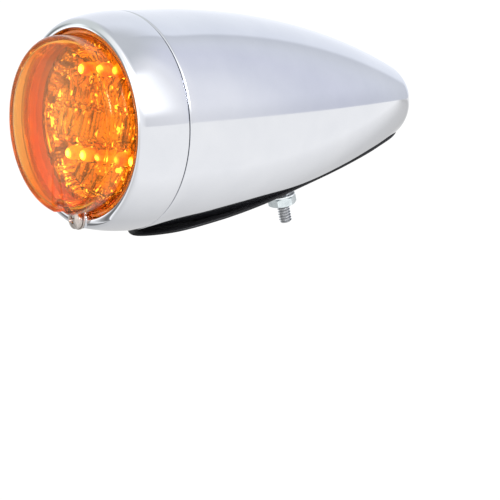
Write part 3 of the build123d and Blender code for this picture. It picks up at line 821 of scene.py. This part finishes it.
REFLECTOR_T = 1.2
DISH_BACK_R = 25.8
DISH_FLANGE_R = 35.2
DISH_FLANGE_BORE_R = 27.0
DISH_FLANGE_FRONT_Y = 6.5
DISH_FLANGE_BACK_Y = 7.7
DISH_FLANGE_SOFT = 0.2
DISH_LIP_R = 0.6
MODULE_SCREW_HOLE_R = 2.6
LENS_SCREW_HOLE_R = 4.6
DISH_STEP = 0.36
DISH_CUT_R = DISH_FLOOR_R + 0.25
DISH_CUT_Y = 20.0
FLUTE = 2.5
FLUTE_BOW = 0.55
FLUTE_TURN = 1.5
FLUTE_SINK = 0.6
FACET = 1.7
FACET_SWELL = 0.32
CUP_SLOPE = 0.62
CUP_RIPPLE = 0.22
TOP_Y = 8.8
TOP_FALL = 1.6
TOP_FALL_WIDTH = 5.0
MIDDLE_Y = 8.6
MIDDLE_FALL = 3.2
LOW_Y = 8.4
LOW_FLUTES = 0.6
LOW_RELIEF = 0.4
UPPER_LEDGE_Z = 5.5
UPPER_LEDGE_Y = 6.9
LOWER_LEDGE_Z = -6.6
LOWER_LEDGE_Y = 7.4
LEDGE_WIDTH = 2.4
LEDGE_RELIEF = 1.3
LEDGE_CROWN = 1.4
WALL_FACETS = 60


def facet_random(*keys):
    """A repeatable number from 0 to 1 for a facet."""
    value = sin(sum(k * w for k, w in zip(keys, (12.9898, 78.233, 37.719)))) * 43758.5453
    return value - floor(value)


def flute(x, row):
    """Upright round flutes with sharp ridges, each turned and sunk a little differently."""
    column = floor(x / FLUTE)
    across = 2 * (x / FLUTE - column) - 1
    turn = facet_random(column, row) - 0.5
    return FLUTE_BOW * across * across + FLUTE_TURN * turn * across + FLUTE_SINK * facet_random(row, column)


def facets(x, z, height):
    """Small tilted flats, for the sparkle of the ledges and of the lower floor."""
    i, j = floor(x / FACET), floor(z / FACET)
    u, v = x / FACET - i - 0.5, z / FACET - j - 0.5
    return height * ((facet_random(i, j) - 0.5) * u + (facet_random(j, i, 1) - 0.5) * v) * 2


def ledge(x, z, middle, front):
    """A narrow shelf of tilted facets standing forward of the flutes; None off the ledge."""
    across = (z - middle) / LEDGE_WIDTH
    if abs(across) > 0.5:
        return None
    return front + facets(x, z - middle, LEDGE_RELIEF) + LEDGE_CROWN * across * across


def cup(x, z, places):
    """Conical cups round the LEDs, each with soft facets."""
    depth = -1.0e3
    for number, (led_x, led_z) in enumerate(places):
        reach = hypot(x - led_x, z - led_z)
        turn = atan2(z - led_z, x - led_x)
        ripple = 1 + CUP_RIPPLE * cos(9 * turn + number)
        depth = max(depth, DISH_FLOOR_Y - max(reach - LED_HOLE_R, 0) * CUP_SLOPE * ripple)
    return depth


def dish_depth(x, z):
    """How far back the reflector's face is at a place, in lamp y."""
    for middle, front in ((UPPER_LEDGE_Z, UPPER_LEDGE_Y), (LOWER_LEDGE_Z, LOWER_LEDGE_Y)):
        depth = ledge(x, z, middle, front)
        if depth is not None:
            return depth
    if z > UPPER_LEDGE_Z:
        blend = min((z - UPPER_LEDGE_Z) / TOP_FALL_WIDTH, 1.0)
        return max(cup(x, z, UPPER_LEDS), TOP_Y + TOP_FALL * blend - flute(x, 1))
    if z > LOWER_LEDGE_Z:
        blend = (z - LOWER_LEDGE_Z) / (UPPER_LEDGE_Z - LOWER_LEDGE_Z)
        return MIDDLE_Y + MIDDLE_FALL * blend - flute(x, 2)
    return max(cup(x, z, LOWER_LEDS), LOW_Y - LOW_FLUTES * flute(x, 3) + facets(x, z, LOW_RELIEF))


def dish_block():
    """The dish's floor as a square slab: stepped, fluted and cupped in front and behind."""
    count = int(DISH_FLOOR_R / DISH_STEP) + 2
    span = [i * DISH_STEP for i in range(-count, count + 1)]
    side = len(span)
    depths = [[dish_depth(x, z) for z in span] for x in span]
    points = []
    for thickness in (0, REFLECTOR_T):
        points += [lamp(x, y + thickness, z) for x, row in zip(span, depths) for z, y in zip(span, row)]
    cells = [i * side + j for i in range(side - 1) for j in range(side - 1)]
    front = [[c, c + side, c + side + 1, c + 1] for c in cells]
    back = [[v + side * side for v in face] for face in front]
    last_row = side * (side - 1)
    ring = [*range(0, last_row, side), *range(last_row, side * side)]
    ring += [*range(last_row - 1, side - 1, -side), *range(side - 1, 0, -1)]
    sides = band(ring, [v + side * side for v in ring])
    return outward(add_object("reflector_dish", points, front + back + sides))


def make_reflector():
    """Plated dish: patterned floor pierced for the LEDs, faceted side wall, rim and flange."""
    dish = boolean(dish_block(), rod("round", DISH_CUT_R, 0, DISH_CUT_Y, steps=240), "INTERSECT")
    holes = [rod("hole", LED_HOLE_R, 0, DISH_CUT_Y, x, z, 40) for x, z in UPPER_LEDS + LOWER_LEDS]
    dish = boolean(dish, join("holes", holes), "DIFFERENCE")
    dish = join("reflector_dish", [dish, faceted_wall(), make_flange()])
    install(dish, "housing", plating, "reflector", 24.0)


def faceted_wall():
    """The dish's side: upright flats inside, a plain tapered skin outside, and a rounded rim."""
    steps = 4 * WALL_FACETS
    angles = [2 * pi * i / steps for i in range(steps)]
    back = DISH_FLOOR_Y + REFLECTOR_T
    sections = []
    for i, angle in enumerate(angles):
        facet, part = divmod(i, 4)
        swell = FACET_SWELL * abs(part / 2 - 1) * (0.7 + 0.6 * facet_random(facet))
        section = [(DISH_FLOOR_R - swell, DISH_FLOOR_Y), (DISH_RIM_R - 0.2 - swell, DISH_RIM_Y + 1.6)]
        section += arc((DISH_RIM_R + DISH_LIP_R, DISH_RIM_Y + DISH_LIP_R), DISH_LIP_R, 180, 360, 8)
        section += [(DISH_EDGE_R, DISH_FLANGE_BACK_Y), (DISH_BACK_R, DISH_FLANGE_BACK_Y + 0.1)]
        section += [(DISH_BACK_R, back), (DISH_FLOOR_R - swell, back)]
        sections.append(section)
    return ring_piece("dish_wall", sections, angles)


def make_flange():
    """Flat flange under the bezel, with holes for the module screws and the lens screw."""
    inside, edge, soft = DISH_FLANGE_BORE_R, DISH_FLANGE_R, DISH_FLANGE_SOFT
    front, back = DISH_FLANGE_FRONT_Y, DISH_FLANGE_BACK_Y
    profile = [(inside, front), (edge - soft, front), (edge, front + soft)]
    profile += [(edge, back - soft), (edge - soft, back), (inside, back)]
    flange = lamp_lathe("dish_flange", profile)
    holes = [(MODULE_SCREW_HOLE_R, x, z) for x, z in MODULE_BOSSES]
    holes.append((LENS_SCREW_HOLE_R, 0.0, -SCREW_AXIS_R))
    for radius, x, z in holes:
        flange = boolean(flange, rod("hole", radius, front - PAST, back + PAST, x, z), "DIFFERENCE")
    return flange


def make_leds():
    """Eight round LEDs: flange, barrel and dome."""
    dome = arc((0, LED_DOME_Y), LED_R, 0, -90, 12)
    profile = [(0, LED_BACK_Y), (LED_FLANGE_R, LED_BACK_Y), (LED_FLANGE_R, LED_BACK_Y - LED_FLANGE_T)]
    profile += [(LED_R, LED_BACK_Y - LED_FLANGE_T)] + dome[:-1] + [(0, LED_DOME_Y - LED_R)]
    domes = [lamp_lathe("led", profile, 40, False, x, z) for x, z in UPPER_LEDS + LOWER_LEDS]
    install(join("led_domes", domes), "housing", glow, "leds", 40.0)


make_reflector()
make_leds()


# ---- threads and fasteners

THREAD_STEPS = 48
THREAD_ROWS = 12
THREAD_DEPTH = 0.6
CREST_HALF = 0.14
FLANK = 0.68
ROD_OVERLAP = 0.2


def thread_depth(part):
    """Depth of a rolled 60 degree thread, from 0 at the crest to 1 at the root, over one pitch."""
    return min(max((abs(2 * part - 1) - CREST_HALF) / FLANK, 0), 1)


def threaded_rod(name, place, radius, pitch, low, high, chamfer):
    """A right-hand threaded rod with chamfered ends; place(x, along, z) maps to the row frame."""
    root = radius - THREAD_DEPTH * pitch
    turns = int((high - low) / pitch) + 3
    rows = turns * THREAD_ROWS
    points, faces = [], []
    for i in range(THREAD_STEPS):
        angle = 2 * pi * i / THREAD_STEPS
        for j in range(rows):
            along = low - pitch + j * pitch / THREAD_ROWS + pitch * i / THREAD_STEPS
            r = radius - (radius - root) * thread_depth((j % THREAD_ROWS) / THREAD_ROWS)
            end = min(along - low, high - along)
            r = min(r, radius - chamfer + max(end, 0))
            points.append(place(r * cos(angle), along, r * sin(angle)))
    for i in range(THREAD_STEPS):
        beside = (i + 1) * rows if i < THREAD_STEPS - 1 else THREAD_ROWS
        for j in range(rows - THREAD_ROWS - 1):
            here = i * rows + j
            faces.append([here, beside + j, beside + j + 1, here + 1])
    thread = add_object(name, points, faces)
    up = (place(0, 1, 0) - place(0, 0, 0)).normalized()
    for along, side in ((low, -1), (high, 1)):
        slice_off(thread, place(0, along, 0), up * side)
    return outward(thread)


def hexagon(name, low, high, bore_r, both_ends=True):
    """A hexagon with a round chamfer at its top or at both ends, corners on x, and an optional bore."""
    corner_r = HEX_AF / 2 / cos(radians(30))
    corners = [(corner_r * cos(radians(60 * i)), corner_r * sin(radians(60 * i))) for i in range(6)]
    points = [foot(x, s, h) for h in (low, high) for x, s in corners]
    loops = numbers(6, 2)
    block = outward(add_object(name, points, bands(loops) + loops))
    clear_r = corner_r + 0.1
    narrow_r = corner_r - HEX_CHAMFER
    profile = [(0, low), (narrow_r if both_ends else clear_r, low), (clear_r, low + HEX_CHAMFER_T)]
    profile += [(clear_r, high - HEX_CHAMFER_T), (narrow_r, high), (0, high)]
    block = boolean(block, foot_lathe("limit", profile, 144, False), "INTERSECT")
    if bore_r:
        mouth_r = bore_r + NUT_MOUTH
        hole = [(0, low - PAST), (mouth_r, low - PAST), (mouth_r, low), (bore_r, low + NUT_MOUTH)]
        hole += [(bore_r, high - NUT_MOUTH), (mouth_r, high), (mouth_r, high + PAST), (0, high + PAST)]
        block = boolean(block, foot_lathe("bore", hole, 72, False), "DIFFERENCE")
    return block


def make_stud():
    """Hex head bolt with a rolled thread down to its free end."""
    def place(x, h, s):
        return foot(x, s, h)

    name = "mounting_stud_bolt"
    shank = threaded_rod(name, place, STUD_R, STUD_PITCH, STUD_END, STUD_SEAT + ROD_OVERLAP, STUD_CHAMFER)
    head = hexagon("stud_head", STUD_SEAT, STUD_SEAT + STUD_HEAD_T, 0, False)
    bolt = join(name, [shank, head])
    install(bolt, "housing", stud_zinc, "mounting_stud", 34.0)


def make_nut():
    """Plain hexagon nut."""
    nut = hexagon("stud_nut_hex", NUT_TOP - NUT_T, NUT_TOP, NUT_BORE_R)
    install(nut, "nut", nut_zinc, "stud_nut", 24.0)


def make_washer():
    """Flat washer over the nut."""
    section = rounded_ring(NUT_BORE_R, WASHER_R, WASHER_LOW, WASHER_LOW + WASHER_T, WASHER_SOFT)
    washer = foot_lathe("stud_washer_flat", section, 120)
    install(washer, "washer", washer_zinc, "stud_washer", 50.0)


# Cross recess: distance behind the head's top, half length and half width, at its mouth and at its bottom
RECESS = ((-0.5, 1.85, 0.5), (1.1, 1.1, 0.28))
RECESS_TURN = 20.0


def make_lens_screw():
    """Pan head screw with a cross recess and a machine thread."""
    top = SCREW_SEAT_Y - SCREW_HEAD_T
    dome_r = 2 * SCREW_HEAD_R
    edge = degrees(acos(SCREW_CROWN_R / dome_r))
    dome = arc((0, top + dome_r), dome_r, -90, -edge, 10)
    rim = dome[-1][1]
    profile = [(0, top)] + dome[1:] + [(SCREW_HEAD_R - 0.07, rim + 0.15), (SCREW_HEAD_R, rim + 0.4)]
    profile += [(SCREW_HEAD_R, SCREW_SEAT_Y - 0.15), (SCREW_HEAD_R - 0.15, SCREW_SEAT_Y), (0, SCREW_SEAT_Y)]
    name = "lens_screw_pan_head"
    head = lamp_lathe(name, profile, 96, False, 0, -SCREW_AXIS_R)
    for turn in (0, 90):
        head = boolean(head, cross_slot(top, turn + RECESS_TURN), "DIFFERENCE")

    def place(x, y, z):
        return lamp(x, y, z - SCREW_AXIS_R)

    start = SCREW_SEAT_Y - ROD_OVERLAP / 2
    shank = threaded_rod("lens_screw_thread", place, SCREW_R, SCREW_PITCH, start, SCREW_TIP_Y, SCREW_CHAMFER)
    screw = join(name, [head, shank])
    install(screw, "screw", screw_steel, "lens_screw", 34.0)


def cross_slot(top, turn):
    """One bar of the cross recess, tapering inwards."""
    points = []
    for behind, half_length, half_width in RECESS:
        for a, b in ((-1, -1), (1, -1), (1, 1), (-1, 1)):
            u, v = a * half_length, b * half_width
            x = u * cos(radians(turn)) - v * sin(radians(turn))
            z = u * sin(radians(turn)) + v * cos(radians(turn))
            points.append(lamp(x, top + behind, z - SCREW_AXIS_R))
    loops = numbers(4, 2)
    return outward(add_object("slot", points, loops + bands(loops)))


make_stud()
make_nut()
make_washer()
make_lens_screw()


# ---- rubber foot

PAD_FRONT_HALF = [(0, -70.5), (12, -63.5), (19.4, -48), (22.6, -29)]
PAD_RIGHT = PAD_FRONT_HALF + [(21.9, -10), (19.6, 18), (15, 40), (9, 56), (0, 65)]
BEAD = 0.5
SKIRT_INSET = 5.0
SKIRT_LOW = 0.3
SKIRT_HIGH = 9.0
SKIRT_END = -34.0
PAD_CLEARANCE = 0.12
GROOVE_OUTER = 3.0
GROOVE_INNER = 4.2
GROOVE_DEPTH = 0.35
PAD_STUD_HOLE_R = 2.9
PAD_OUTLET_HOLE_R = 6.5


def distance(one, two):
    """Distance between two foot places."""
    return hypot(two[0] - one[0], two[1] - one[1])


def pad_outline(inset, steps=14):
    """The pad's egg outline as a smooth closed curve in the foot plane."""
    corners = PAD_RIGHT + [(-x, s) for x, s in PAD_RIGHT[-2:0:-1]]
    count = len(corners)
    gaps = [distance(corners[i], corners[(i + 1) % count]) for i in range(count)]
    slopes = []
    for i in range(count):
        before, here, after = corners[i - 1], corners[i], corners[(i + 1) % count]
        a, b = gaps[i - 1], gaps[i]
        pairs = zip(before, here, after)
        slopes.append([((q - p) / a * b + (r - q) / b * a) / (a + b) for p, q, r in pairs])
    outline = []
    for i in range(count):
        k = (i + 1) % count
        for j in range(steps):
            t = j / steps
            start, end = 2 * t**3 - 3 * t**2 + 1, 3 * t**2 - 2 * t**3
            leave, meet = (t**3 - 2 * t**2 + t) * gaps[i], (t**3 - t**2) * gaps[i]
            ends = [start * corners[i][c] + end * corners[k][c] for c in (0, 1)]
            outline.append([ends[c] + leave * slopes[i][c] + meet * slopes[k][c] for c in (0, 1)])
    return [inwards(outline, i, inset) for i in range(len(outline))]


def inwards(outline, i, inset):
    """A point of a closed outline moved inwards, square to the outline."""
    before, after = outline[i - 1], outline[(i + 1) % len(outline)]
    dx, dy = after[0] - before[0], after[1] - before[1]
    length = hypot(dx, dy)
    return outline[i][0] - dy / length * inset, outline[i][1] + dx / length * inset


def stacked(name, rings):
    """A closed body from outlines at rising heights, capped flat at both ends."""
    points = [foot(x, s, h) for outline, h in rings for x, s in outline]
    loops = numbers(len(rings[0][0]), len(rings))
    return outward(add_object(name, points, bands(loops) + [loops[0], loops[-1]]))


def make_pad():
    """Moulded rubber pad: beaded edge, a groove inside the bead, and the skirt up to the belly."""
    turns = [radians(-80 + 16 * i) for i in range(11)]
    bead = [(pad_outline(BEAD * (1 - cos(a))), BEAD * (1 + sin(a))) for a in turns]
    pad = stacked("base_pad_moulding", bead)
    skirt = stacked("skirt", [(pad_outline(SKIRT_INSET), SKIRT_LOW), (pad_outline(SKIRT_INSET), SKIRT_HIGH)])
    front = [(-BODY_R, -2 * BODY_R), (BODY_R, -2 * BODY_R), (BODY_R, SKIRT_END), (-BODY_R, SKIRT_END)]
    skirt = boolean(skirt, stacked("front", [(front, 0), (front, SKIRT_HIGH + PAST)]), "INTERSECT")
    belly = [(0, -BODY_R), (BODY_R + PAD_CLEARANCE, -BODY_R)]
    belly += bullet_profile(-PAD_CLEARANCE, OGIVE_START_Y - 1, 60)
    skirt = boolean(skirt, lamp_lathe("belly", belly, closed=False), "DIFFERENCE")
    pad = boolean(pad, skirt, "UNION")
    groove = [(pad_outline(GROOVE_OUTER), -PAST), (pad_outline(GROOVE_OUTER), GROOVE_DEPTH)]
    inner = [(pad_outline(GROOVE_INNER), -2 * PAST), (pad_outline(GROOVE_INNER), 1)]
    channel = boolean(stacked("groove", groove), stacked("groove_inside", inner), "DIFFERENCE")
    pad = boolean(pad, channel, "DIFFERENCE")
    for radius, s in ((PAD_STUD_HOLE_R, 0.0), (PAD_OUTLET_HOLE_R, OUTLET_S)):
        pad = boolean(pad, upright("hole", radius, -PAST, SKIRT_HIGH, s), "DIFFERENCE")
    install(pad, "housing", rubber, "base_pad", 32.0)


def make_grommet():
    """Rubber bush with a rounded flange on each side of the floor."""
    low, high = PAD_T - OUTLET_FLANGE_T, FLOOR_TOP + OUTLET_FLANGE_T
    mouth_r = OUTLET_BORE_R + OUTLET_MOUTH
    edge_r = OUTLET_FLANGE_R - OUTLET_SOFT
    neck_r = OUTLET_HOLE_R - 0.05
    section = arc((mouth_r, low + OUTLET_MOUTH), OUTLET_MOUTH, 180, 270, 6)
    section += arc((edge_r, low + OUTLET_SOFT), OUTLET_SOFT, -90, 0, 4)
    section += [(OUTLET_FLANGE_R, PAD_T - 0.05), (neck_r, PAD_T - 0.05)]
    section += [(neck_r, FLOOR_TOP + 0.05), (OUTLET_FLANGE_R, FLOOR_TOP + 0.05)]
    section += arc((edge_r, high - OUTLET_SOFT), OUTLET_SOFT, 0, 90, 4)
    section += arc((mouth_r, high - OUTLET_MOUTH), OUTLET_MOUTH, 90, 180, 6)
    grommet = foot_lathe("wire_grommet_bush", section, 96, True, OUTLET_S)
    install(grommet, "housing", rubber, "wire_grommet", 40.0)


make_pad()
make_grommet()


# ---- studio

FLOOR_HEIGHT = -45.0
FLOOR_SIZE = 9000.0
FLOOR_SEEN = 1.05
FLOOR_TINT = (1.0, 0.995, 0.99)

# The floor's glow by x, in metres: brighter towards the softbox at +x as painted light, and dimmest near x =
# -0.05 as a painted shadow of the lamp
FLOOR_SPAN = 1.0
FLOOR_PAINTED_LIGHT = [(-0.3, 1.15), (-0.13, 0.85), (-0.05, 0.74), (0.0, 0.86), (0.03, 1.1), (0.07, 1.33)]

# Dark cards and strip lights by bearing; bearings turn from +y towards +x, in degrees
CARDS_CENTRE = 0.1
CARDS = [
    (-180, 1.4), (-166, 1.4), (-158, 2.2), (-150, 0.4), (-139, 0.3), (-131, 0.7), (-125, 1.8), (-117, 0.28),
    (-104, 0.4), (-88, 1.0), (179, 1.0),
]

# Wall colours by bearing
WALLS = [
    (-180, (1.6, 1.6, 1.6)),
    (-150, (1.3, 1.32, 1.3)),
    (-130, (0.95, 1.0, 0.98)),
    (-95, (0.95, 1.0, 0.99)),
    (-70, (1.1, 1.13, 1.2)),
    (-40, (1.14, 1.18, 1.26)),
    (-15, (1.1, 1.14, 1.24)),
    (-11, (0.84, 0.87, 0.95)),
    (-3, (0.92, 0.95, 1.03)),
    (4, (0.96, 0.99, 1.09)),
    (20, (0.97, 0.99, 1.12)),
    (34, (1.03, 1.05, 1.16)),
    (46, (1.19, 1.2, 1.27)),
    (56, (1.24, 1.24, 1.28)),
    (90, (1.15, 1.15, 1.18)),
    (179, (1.6, 1.6, 1.6)),
]
WALL_FOOT = (0.9, 0.9, 0.9)
CEILING = (0.82, 0.845, 0.885)

# Softbox, its core, and a tube: smooth steps that bound each by bearing and by height, and its radiance
LIGHTS = [
    (((50, 82),), ((6, 17), (56, 46)), (2.0, 2.0, 2.0)),
    (((78, 90), (132, 120)), ((12, 18), (48, 40)), (5.0, 5.0, 5.0)),
    (((94, 97), (112, 109)), ((16, 20), (42, 38)), (30.0, 30.0, 33.0)),
]

CAMERA_AT = (464.7, -419.8, 81.25)
CAMERA_TURN = 48.869
CAMERA_DIP = 9.972
CAMERA_LENS = 119.66


def make_floor():
    """White studio sweep: plain white to the camera, and to everything else a pale glow with a painted pool
    of light and a painted shadow of the lamp.
    """
    half = FLOOR_SIZE * MM / 2
    corners = [(x * half, y * half, FLOOR_HEIGHT * MM) for x, y in ((-1, -1), (1, -1), (1, 1), (-1, 1))]
    floor_piece = add_object("floor", corners, [[0, 1, 2, 3]])
    material = bpy.data.materials.new("floor_white")
    material.use_nodes = True
    n = Nodes(material.node_tree)
    n.tree.nodes.clear()
    lit = n.add("ShaderNodeEmission")
    n.feed(lit.inputs["Color"], FLOOR_TINT)
    n.link(painted_floor_light(n), lit.inputs["Strength"])
    seen = n.add("ShaderNodeEmission")
    n.feed(seen.inputs["Strength"], FLOOR_SEEN)
    surface = n.by_ray("Is Camera Ray", lit.outputs["Emission"], seen.outputs["Emission"])
    n.link(surface, n.add("ShaderNodeOutputMaterial").inputs["Surface"])
    floor_piece.data.materials.append(material)


def card_gain(n, ahead, across):
    """Gain of the dark cards and strip lights in front of the lamp, which the reflector picks up."""
    turn = n.maths("DIVIDE", n.maths("ADD", n.maths("ARCTAN2", across, ahead), pi), 2 * pi)
    return n.ramp(turn, [((azimuth + 180) / 360, (gain,) * 3) for azimuth, gain in CARDS])


def painted_floor_light(n):
    """Strength of the floor: a painted pool of light towards the softbox, a painted shadow of the lamp in
    its lee, and the cards' gain.
    """
    x, y, _ = n.parts(n.add("ShaderNodeTexCoord").outputs["Object"])
    along = n.maths("ADD", n.maths("DIVIDE", x, FLOOR_SPAN), 0.5)
    glow = n.ramp(along, [(at / FLOOR_SPAN + 0.5, (gain,) * 3) for at, gain in FLOOR_PAINTED_LIGHT])
    return n.maths("MULTIPLY", glow, card_gain(n, n.maths("ADD", y, CARDS_CENTRE), x))


def make_world():
    """Studio round the lamp: walls by bearing, cards low in front, the lights, and a grey ceiling."""
    world = bpy.data.worlds.new("studio")
    bpy.context.scene.world = world
    world.use_nodes = True
    n = Nodes(world.node_tree)
    n.tree.nodes.clear()
    x, y, z = n.parts(n.add("ShaderNodeTexCoord").outputs["Generated"])
    bearing = n.maths("MULTIPLY", n.maths("ARCTAN2", x, y), 180 / pi)
    height = n.maths("MULTIPLY", n.maths("ARCSINE", z), 180 / pi)
    turn = n.maths("DIVIDE", n.maths("ADD", bearing, 180.0), 360.0)
    room = n.ramp(turn, [((azimuth + 180) / 360, colour) for azimuth, colour in WALLS])
    room = n.mix(n.step(height, 14.0, 0.0), room, WALL_FOOT, "MULTIPLY")
    room = n.mix(n.step(height, 22.0, 10.0), room, card_gain(n, y, x), "MULTIPLY")
    room = n.mix(n.step(height, 50.0, 72.0), room, CEILING)
    for bearings, heights, radiance in LIGHTS:
        inside = 1.0
        for start, end in bearings:
            inside = n.maths("MULTIPLY", n.step(bearing, start, end), inside)
        for start, end in heights:
            inside = n.maths("MULTIPLY", n.step(height, start, end), inside)
        room = n.mix(inside, room, radiance)
    seen = n.mix(n.add("ShaderNodeLightPath").outputs["Is Camera Ray"], room, (1.0, 1.0, 1.0))
    background = n.add("ShaderNodeBackground")
    n.link(seen, background.inputs["Color"])
    n.link(background.outputs["Background"], n.add("ShaderNodeOutputWorld").inputs["Surface"])


def make_camera():
    """The photograph's view: a long lens from the front right, a little above the lamp."""
    data = bpy.data.cameras.new("camera")
    data.lens = CAMERA_LENS
    data.sensor_width = 36.0
    data.clip_start = 0.01
    camera = bpy.data.objects.new("camera", data)
    camera.location = [v * MM for v in CAMERA_AT]
    camera.rotation_euler = (radians(90 - CAMERA_DIP), 0, radians(CAMERA_TURN))
    bpy.context.scene.collection.objects.link(camera)
    bpy.context.scene.camera = camera


make_floor()
make_world()
make_camera()
bpy.context.scene.view_settings.view_transform = "Standard"
